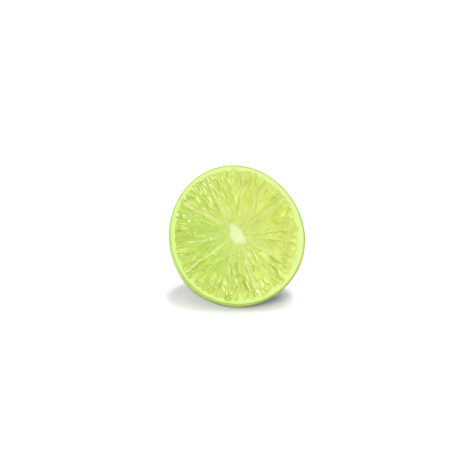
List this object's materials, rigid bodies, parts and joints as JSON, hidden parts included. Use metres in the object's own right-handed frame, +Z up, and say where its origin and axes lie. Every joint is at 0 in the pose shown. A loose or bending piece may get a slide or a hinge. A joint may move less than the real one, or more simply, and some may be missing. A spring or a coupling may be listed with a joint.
{
  "type": "half lime",
  "caption": "Fresh lime cut across near its girth; the half lies on a small flat spot with its cut face forward and up.",
  "frame": {"origin": "middle of the small flat spot that the half lies on", "axes": "+Z up from the resting spot; -Y towards the viewer of the cut face, which leans back from upright; X across the face"},
  "size_m": [0.0543, 0.0489, 0.0566],
  "materials": {
    "lime": "waxy green peel, wet pale yellow-green cut flesh"
  },
  "bodies": {
    "root": {"lime_half": "lime"}
  },
  "joints": []
}
